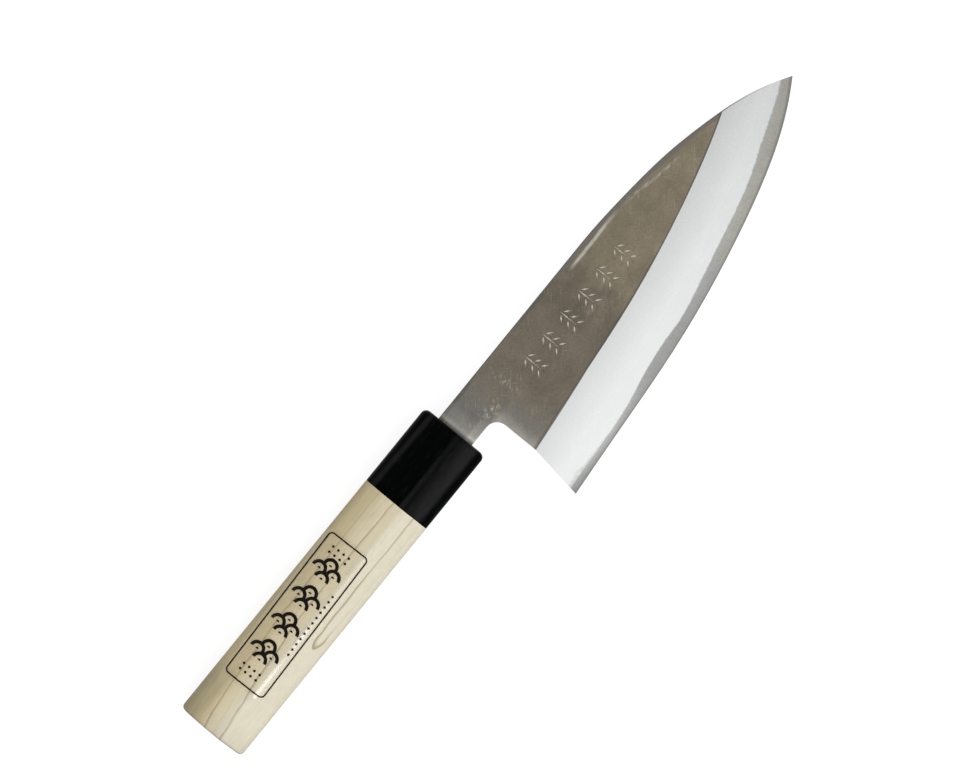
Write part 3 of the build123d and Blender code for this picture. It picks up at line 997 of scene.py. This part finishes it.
@dataclass(frozen=True)
class WoodFinish:
    """Bare magnolia wood, paler towards the edge and darker, warmer towards the spine, partly from painted
    shade, with thin growth lines that close round a long loop.

    The growth lines are counted by their distance from the middle of the loop. Places along the handle
    count from the front of the ferrule, so they are negative, and those across it from its middle line.
    """

    pale_colour: Colour = (0.680, 0.632, 0.500)
    # middle_colour and warm_colour carry painted shade on the spine's side, over the wood's own tone
    middle_colour: Colour = (0.665, 0.588, 0.410)
    warm_colour: Colour = (0.585, 0.495, 0.300)
    line_colour: Colour = (0.330, 0.262, 0.145)

    # Broad tones: the wood's own tone, with painted shade darker and warmer on the spine's side
    middle_side: Fade = Fade(-5.5 * MM, 1.0 * MM)
    warm_shaded_side: Fade = Fade(1.0 * MM, 8.5 * MM)
    broad: Grain = Grain((90 * MM, 12 * MM, 12 * MM), 3, 0.6)
    broad_drift: Span = (-2.5 * MM, 2.5 * MM)
    back_darkening_along: Fade = Fade(-122 * MM, -108 * MM)
    back_darkening_across: Fade = Fade(5 * MM, 11 * MM, 0.28)
    butt_shade: Slope = Slope(-135 * MM, -126 * MM, 0.89, 1.0)

    # Growth lines, with their strength, the width of both their sides and the faint side of the loop
    growth_lines: tuple[GrowthLine, ...] = (
        GrowthLine(2.1 * MM, 0.70, 0.95), GrowthLine(5.4 * MM, 0.08, 0.10),
        GrowthLine(7.9 * MM, 0.10, 0.08), GrowthLine(11.0 * MM, 0.70, 0.85),
        GrowthLine(13.6 * MM, 0.10, 0.10), GrowthLine(16.8 * MM, 0.24, 0.85),
        GrowthLine(19.4 * MM, 0.12, 0.12), GrowthLine(22.6 * MM, 0.22, 0.22),
        GrowthLine(26.0 * MM, 0.25, 0.25))
    line_stretch: Span = (-80 * MM, -42 * MM)
    line_rise: float = 0.75 * MM
    line_fall: float = 0.22 * MM
    line_fading: Grain = Grain((28 * MM, 8 * MM, 8 * MM), 2)
    line_shades: Span = (0.62, 1.15)
    faint_across: Fade = Fade(-1.5 * MM, 0.0, 0.84)
    faint_along: Fade = Fade(-87 * MM, -80 * MM)

    # The loop, which closes in a nose, and how the lines sag from it towards the butt
    loop_drop: float = 9.6 * MM
    squash: float = 0.35
    nose: Fade = Fade(-98.3 * MM, -82.3 * MM, 4 * MM)
    sag_place: Slope = Slope(-47 * MM, -135 * MM)
    sag_rings: Span = (5 * MM, 12 * MM)
    near_sag: float = 3.9 * MM
    near_power: float = 2.0
    far_sag: float = 3.8 * MM
    far_power: float = 4.0
    sag_start: Fade = Fade(2.5 * MM, 5.0 * MM)
    sag_depth: Fade = Fade(5 * MM, 11 * MM)
    wander: Grain = Grain((60 * MM, 12 * MM, 12 * MM), 3, 0.5)
    wander_drift: Span = (-0.45 * MM, 0.45 * MM)
    quiver: Grain = Grain((6 * MM, 2 * MM, 2 * MM), 3, 0.6)
    quiver_drift: Span = (-0.16 * MM, 0.16 * MM)

    # Fibres and pores, and the cut end
    fibres: Grain = Grain((26 * MM, 0.45 * MM, 0.45 * MM), 4, 0.65)
    fibre_shades: Span = (0.955, 1.03)
    mottle: Grain = Grain((3.5 * MM, 2.2 * MM, 2.2 * MM), 3, 0.6)
    mottle_shades: Span = (0.965, 1.035)
    pores: Marks = Marks(Grain((4.5 * MM, 0.16 * MM, 0.16 * MM), 2), Fade(0.66, 0.76, 0.16))
    pore_depth: float = 4.0
    end_tilt: Fade = Fade(0.5, 0.85)
    end_dots: Grain = Grain((0.3 * MM, 0.3 * MM, 0.3 * MM), 3, 0.6)
    end_shade: Slope = Slope(0.0, 1.0, 1.0, 0.82)

    # Surface
    roughnesses: Span = (0.55, 0.66)
    index: float = 1.40
    relief: Relief = Relief(0.02 * MM, 0.5)

    def off_loop(self, graph: Graph, form: BladeForm) -> Socket:
        """Distance across the handle from the middle of the loop."""
        return graph.total(form.off_axis(graph), self.loop_drop)

    def sag(self, graph: Graph, form: BladeForm, ring: Socket, depth: Socket) -> Socket:
        """Work out how far the growth lines sag towards the butt.

        Args:
            graph: The material that is built.
            form: The blade's lines, which the lines are placed from.
            ring: Distance from the loop's middle line.
            depth: Depth below the top of the handle.

        Returns:
            The sag.
        """
        place = graph.line(form.from_ferrule(graph), self.sag_place)
        near = graph.product(graph.math(Sum.POWER, place, self.near_power), self.near_sag)
        far = graph.product(graph.math(Sum.POWER, place, self.far_power), self.far_sag)
        sag = graph.line(ring, Slope(*self.sag_rings, near, far))
        return graph.product(sag, graph.rise(ring, self.sag_start), graph.fall(depth, self.sag_depth))

    def ring_distance(self, graph: Graph, form: BladeForm) -> Socket:
        """Measure from the middle of the loop, as the growth rings count.

        Args:
            graph: The material that is built.
            form: The blade's lines, which the loop is placed from.

        Returns:
            The distance.
        """
        across = self.off_loop(graph, form)
        depth = graph.less(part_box("handle_body")[1].z, graph.up)
        flattened = graph.product(depth, self.squash)
        nose = graph.fall(form.from_ferrule(graph), self.nose)
        wander = graph.sway(graph.pattern(self.wander), self.wander_drift)
        quiver = graph.sway(graph.pattern(self.quiver), self.quiver_drift)
        sag = self.sag(graph, form, graph.reach(across, flattened), depth)
        return graph.total(graph.reach(across, flattened, nose), wander, quiver, sag)

    def line_mask(self, graph: Graph, form: BladeForm) -> Socket:
        """Draw the dark growth lines, soft on their inner side and crisp on the outer one.

        Args:
            graph: The material that is built.
            form: The blade's lines, which the lines are placed from.

        Returns:
            The strength of the lines.
        """
        along = form.from_ferrule(graph)
        reach = self.ring_distance(graph, form)
        mask: Value = 0.0
        for line in self.growth_lines:
            strength = graph.line(along, Slope(*self.line_stretch, line.at_butt, line.at_ferrule))
            inner = graph.rise(reach, Fade(line.distance - self.line_rise, line.distance))
            outer = graph.fall(reach, Fade(line.distance, line.distance + self.line_fall))
            mask = graph.total(mask, graph.product(inner, outer, strength))
        faint = graph.product(graph.fall(self.off_loop(graph, form), self.faint_across),
                              graph.rise(along, self.faint_along))
        fading = graph.sway(graph.pattern(self.line_fading), self.line_shades)
        return graph.product(mask, fading, graph.less(1.0, faint))

    def broad_tint(self, graph: Graph, side: Socket) -> Socket:
        """Colour the wood, warmer and darker away from the edge's side, partly as painted shade."""
        # Painted shade over the wood's own tone: paler on the edge's side, which faces the lamp, darker and
        # warmer on the spine's side
        colour = graph.mix(graph.rise(side, self.middle_side), self.pale_colour, self.middle_colour)
        return graph.mix(graph.rise(side, self.warm_shaded_side), colour, self.warm_colour)

    def butt_level(self, graph: Graph, along: Socket, side: Socket) -> Socket:
        """Darken the wood at the butt, and further towards the back near it."""
        back_darkening = graph.product(graph.fall(along, self.back_darkening_along), graph.rise(side, self.back_darkening_across))
        return graph.product(graph.less(1.0, back_darkening), graph.line(along, self.butt_shade))

    def build(self, form: BladeForm) -> bpy.types.Material:
        """Build the material.

        Args:
            form: The blade's lines, which the wood's pattern is placed from.

        Returns:
            The finished material.
        """
        graph = Graph("pale_wood")
        drift = graph.sway(graph.pattern(self.broad), self.broad_drift)
        side = graph.total(form.off_axis(graph), drift)
        fibres = graph.pattern(self.fibres)
        pores = self.pores.mask(graph)
        dark = graph.largest(self.line_mask(graph, form), pores)
        end = graph.rise(graph.unsigned(graph.part_of(graph.normal, Direction.ALONG)), self.end_tilt)
        colour = graph.mix(dark, self.broad_tint(graph, side), self.line_colour)
        colour = graph.shade(colour, graph.sway(fibres, self.fibre_shades),
                             graph.sway(graph.pattern(self.mottle), self.mottle_shades),
                             self.butt_level(graph, form.from_ferrule(graph), side),
                             graph.line(end, self.end_shade))
        relief = graph.less(graph.mix(end, fibres, graph.pattern(self.end_dots)),
                            graph.product(pores, self.pore_depth))
        return graph.finish(Base_Color=colour, Roughness=graph.sway(fibres, self.roughnesses),
                            IOR=self.index, Normal=graph.bump(relief, self.relief))


@dataclass(frozen=True)
class BeddingFinish:
    """Set resin round the tang, grey-brown with a grain of filler."""

    colour: Colour = (0.070, 0.060, 0.045)
    filler_colour: Colour = (0.150, 0.130, 0.100)
    grains: Grain = Grain((0.5 * MM, 0.5 * MM, 0.5 * MM), 4, 0.7)
    filler_level: Fade = Fade(0.45, 0.65)
    roughness: float = 0.55
    relief: Relief = Relief(0.03 * MM, 0.6)

    def build(self) -> bpy.types.Material:
        """Build the material.

        Returns:
            The finished material.
        """
        graph = Graph("bedding_resin")
        grains = graph.pattern(self.grains)
        colour = graph.mix(graph.rise(grains, self.filler_level), self.colour, self.filler_colour)
        return graph.finish(Base_Color=colour, Roughness=self.roughness,
                            Normal=graph.bump(grains, self.relief))


@dataclass(frozen=True)
class FilmFinish:
    """Clear label film: see-through and glossy, with a painted highlight: a streak of extra gloss along the
    ridge.

    Places along the film count from the front of the ferrule, and those across it from the handle's middle
    line.
    """

    shine_colour: Colour = (1.0, 1.0, 0.98)
    tint: Colour = (0.998, 0.996, 0.990)

    # The streak of painted highlight, which slants a little, and its two stretches
    slant: Slope = Slope(-118 * MM, -84 * MM, 0.30 * MM, -0.50 * MM)
    streak: Stretch = Stretch(Fade(-5.0 * MM, -4.0 * MM), Fade(-3.7 * MM, -2.6 * MM))
    long_stretch: Stretch = Stretch(Fade(-119 * MM, -115 * MM), Fade(-108 * MM, -97 * MM, 0.85))
    short_stretch: Stretch = Stretch(Fade(-95 * MM, -91 * MM), Fade(-88 * MM, -83 * MM, 1.1))
    painted_glare_shades: Span = (0.85, 1.1)

    # Surface
    ripples: Grain = Grain((12 * MM, 4 * MM, 4 * MM), 1)
    roughnesses: Span = (0.10, 0.20)
    # Roughness and gloss of the painted highlight
    painted_glare_roughness: float = 0.16
    painted_glare_gloss: float = 0.25
    index: float = 1.45
    relief: Relief = Relief(0.03 * MM, 0.3)

    def painted_glare_mask(self, graph: Graph, form: BladeForm) -> Socket:
        """Draw the streak of painted highlight along the ridge, where the film gets extra gloss.

        Args:
            graph: The material that is built.
            form: The blade's lines, which the streak is placed from.

        Returns:
            The strength of the painted highlight.
        """
        along = form.from_ferrule(graph)
        off = graph.total(form.off_axis(graph), graph.line(along, self.slant))
        stretches = graph.total(self.long_stretch.mask(graph, along), self.short_stretch.mask(graph, along))
        return graph.product(self.streak.mask(graph, off), stretches)

    def build(self, form: BladeForm) -> bpy.types.Material:
        """Build the material, with gloss on the outer side of the film alone.

        Args:
            form: The blade's lines, which the streak of painted highlight is placed from.

        Returns:
            The finished material.
        """
        graph = Graph("clear_film")
        ripples = graph.pattern(self.ripples)
        # Painted highlight: extra gloss, and a little more roughness, in a streak along the ridge
        painted_glare = graph.product(self.painted_glare_mask(graph, form), graph.sway(ripples, self.painted_glare_shades))
        rough = graph.total(graph.sway(ripples, self.roughnesses),
                            graph.product(painted_glare, self.painted_glare_roughness))
        clear = graph.node("ShaderNodeBsdfTransparent", {"Color": self.tint})
        gloss = {"Color": self.shine_colour, "Roughness": rough, "Normal": graph.bump(ripples, self.relief)}
        shine = graph.node("ShaderNodeBsdfGlossy", gloss)
        fresnel = graph.node("ShaderNodeFresnel", {"IOR": self.index}).outputs[0]
        # The painted highlight adds to the film's own gloss
        glossy = graph.total(fresnel, graph.product(painted_glare, self.painted_glare_gloss))
        inside = graph.node("ShaderNodeNewGeometry", {}).outputs["Backfacing"]
        share = graph.product(glossy, graph.less(1.0, inside))
        both = graph.node("ShaderNodeMixShader", {0: share, 1: clear.outputs[0], 2: shine.outputs[0]})
        graph.node("ShaderNodeOutputMaterial", {"Surface": both.outputs[0]})
        return graph.material


@dataclass(frozen=True)
class InkFinish:
    """Black printing ink, dense with a few thin spots."""

    colour: Colour = (0.006, 0.004, 0.003)
    thin_colour: Colour = (0.040, 0.032, 0.024)
    spots: Grain = Grain((0.7 * MM, 0.7 * MM, 0.7 * MM), 4, 0.7)
    thin_level: Fade = Fade(0.58, 0.72, 0.7)
    roughnesses: Span = (0.29, 0.42)
    index: float = 1.25

    def build(self) -> bpy.types.Material:
        """Build the material.

        Returns:
            The finished material.
        """
        graph = Graph("black_ink")
        spots = graph.pattern(self.spots)
        colour = graph.mix(graph.rise(spots, self.thin_level), self.colour, self.thin_colour)
        rough = graph.sway(spots, self.roughnesses)
        return graph.finish(Base_Color=colour, Roughness=rough, IOR=self.index)


def dress(node: str, material: bpy.types.Material) -> None:
    """Give a carried-over piece its material.

    Args:
        node: The piece's name in the frame.
        material: The material for all of it.
    """
    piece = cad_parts[node]
    if not piece.material_slots:
        piece.data.materials.append(material)
    for place in piece.material_slots:
        place.material = material
    log.info("%s has the finish %s", node, material.name)


@dataclass
class Blade:
    """The laminated blade: its soft body and its hard layer."""

    form: BladeForm = field(default_factory=BladeForm)
    soft: SoftSteelFinish = field(default_factory=SoftSteelFinish)
    hard: HardSteelFinish = field(default_factory=HardSteelFinish)

    def build(self) -> None:
        """Dress both steels."""
        dress("blade_cladding", self.soft.build(self.form))
        dress("cutting_steel", self.hard.build(self.form))


@dataclass
class Handle:
    """The handle: wood, ferrule and the resin that holds the tang."""

    form: BladeForm = field(default_factory=BladeForm)
    wood: WoodFinish = field(default_factory=WoodFinish)
    ferrule: MouldedResinFinish = field(default_factory=MouldedResinFinish)
    bedding: BeddingFinish = field(default_factory=BeddingFinish)

    def build(self) -> None:
        """Dress the handle's three pieces."""
        dress("handle_body", self.wood.build(self.form))
        dress("ferrule", self.ferrule.build(self.form))
        dress("tang_bedding", self.bedding.build())


@dataclass
class Label:
    """The label on the handle: clear film and the ink on it."""

    form: BladeForm = field(default_factory=BladeForm)
    film: FilmFinish = field(default_factory=FilmFinish)
    ink: InkFinish = field(default_factory=InkFinish)

    def build(self) -> None:
        """Dress the film and the print."""
        dress("label_film", self.film.build(self.form))
        dress("label_print", self.ink.build())


@dataclass(frozen=True)
class Softbox:
    """A rectangular studio lamp that faces the knife.

    Its place is given by how far it leans from straight above towards the edge's side in degrees, its
    distance, and how far it is slid along the knife, in metres.
    """

    name: str
    lean: float
    distance: float
    length: float
    depth: float
    radiance: float
    slide: float = 0.0

    def build(self, target: Vector) -> None:
        """Hang the lamp.

        Args:
            target: The point that it faces.
        """
        lean = math.radians(self.lean)
        away = Vector((0, -math.sin(lean), math.cos(lean)))
        lamp = bpy.data.lights.new(self.name, "AREA")
        lamp.shape = "RECTANGLE"
        lamp.size = self.length
        lamp.size_y = self.depth
        lamp.energy = LAMP_POWER * self.radiance * self.length * self.depth
        holder = bpy.data.objects.new(self.name, lamp)
        holder.location = target + away * self.distance + Vector((self.slide, 0, 0))
        holder.rotation_euler = (lean, 0, 0)
        bpy.context.scene.collection.objects.link(holder)


@dataclass
class Studio:
    """White floor, room, lamps and the camera that looks straight down on the knife.

    Angles are in degrees, and lengths in metres but for the lens and its sensor, which are in millimetres.
    """

    knife_turn: float = 50.85
    view_width: float = 339.5 * MM
    view_centre: Span = (0.3 * MM, 18.1 * MM)
    focus_height: float = 10 * MM
    lens: float = 200.0
    sensor: float = 36.0
    floor_size: float = 12.0
    floor_albedo: float = 0.25
    floor_glow: float = 0.86
    room_level: float = 0.60
    ceiling_level: float = 0.30
    wall_top: float = 31.0
    ceiling_start: float = 44.0
    lamps: tuple[Softbox, ...] = (
        Softbox("edge_side_box", lean=32, distance=1.5, length=2.4, depth=1.46, radiance=1.26),
        Softbox("label_strip", lean=37, distance=1.5, length=0.04, depth=0.5, radiance=3.0, slide=-0.225),
    )

    def build_floor(self) -> None:
        """Lay the pale floor, which shows white and keeps a faint shadow."""
        bpy.ops.object.select_all(action="DESELECT")
        bpy.ops.mesh.primitive_plane_add(size=self.floor_size, location=(0, 0, 0))
        floor = bpy.context.active_object
        floor.name = "studio_floor"
        material = bpy.data.materials.new("floor_white")
        material.use_nodes = True
        tree = Tree(material.node_tree)
        matte = tree.node("ShaderNodeBsdfDiffuse", {"Color": (self.floor_albedo,) * 3})
        level = tree.product(tree.seen(), self.floor_glow)
        glow = tree.node("ShaderNodeEmission", {"Color": WHITE, "Strength": level})
        both = tree.node("ShaderNodeAddShader", {0: matte.outputs[0], 1: glow.outputs[0]})
        tree.node("ShaderNodeOutputMaterial", {"Surface": both.outputs[0]})
        floor.data.materials.append(material)

    def build_world(self) -> None:
        """Light the room evenly, and show it with white walls and a greyer ceiling."""
        world = bpy.data.worlds.new("studio_room")
        bpy.context.scene.world = world
        world.use_nodes = True
        tree = Tree(world.node_tree)
        climb = tree.part_of(tree.node("ShaderNodeTexCoord", {}).outputs["Generated"], Direction.UP)
        wall_top = math.sin(math.radians(self.wall_top))
        ceiling_start = math.sin(math.radians(self.ceiling_start))
        level = tree.line(climb, Slope(wall_top, ceiling_start, 1.0, self.ceiling_level))
        room = tree.node("ShaderNodeBackground", {"Color": WHITE, "Strength": self.room_level})
        shown = tree.node("ShaderNodeBackground", {"Color": WHITE, "Strength": level})
        both = tree.node("ShaderNodeMixShader", {0: tree.seen(), 1: room.outputs[0], 2: shown.outputs[0]})
        tree.node("ShaderNodeOutputWorld", {"Surface": both.outputs[0]})

    def build_camera(self) -> None:
        """Hang the camera straight above the knife, turned as the photograph was."""
        lens = bpy.data.cameras.new("camera")
        lens.lens = self.lens
        lens.sensor_width = self.sensor
        camera = bpy.data.objects.new("camera", lens)
        distance = self.view_width * self.lens / self.sensor
        camera.location = (*self.view_centre, self.focus_height + distance)
        camera.rotation_euler = (0, 0, -math.radians(self.knife_turn))
        bpy.context.scene.collection.objects.link(camera)
        bpy.context.scene.camera = camera

    def build(self) -> None:
        """Set up the whole studio."""
        self.build_camera()
        self.build_floor()
        self.build_world()
        for lamp in self.lamps:
            lamp.build(Vector((0, 0, self.focus_height)))
        bpy.context.scene.view_settings.view_transform = "Standard"
        log.info("studio has %d lamps", len(self.lamps))


def main() -> None:
    """Build the studio and dress the knife, sub-assembly by sub-assembly."""
    Studio().build()
    Blade().build()
    Handle().build()
    Label().build()


if __name__ == "__main__":
    main()
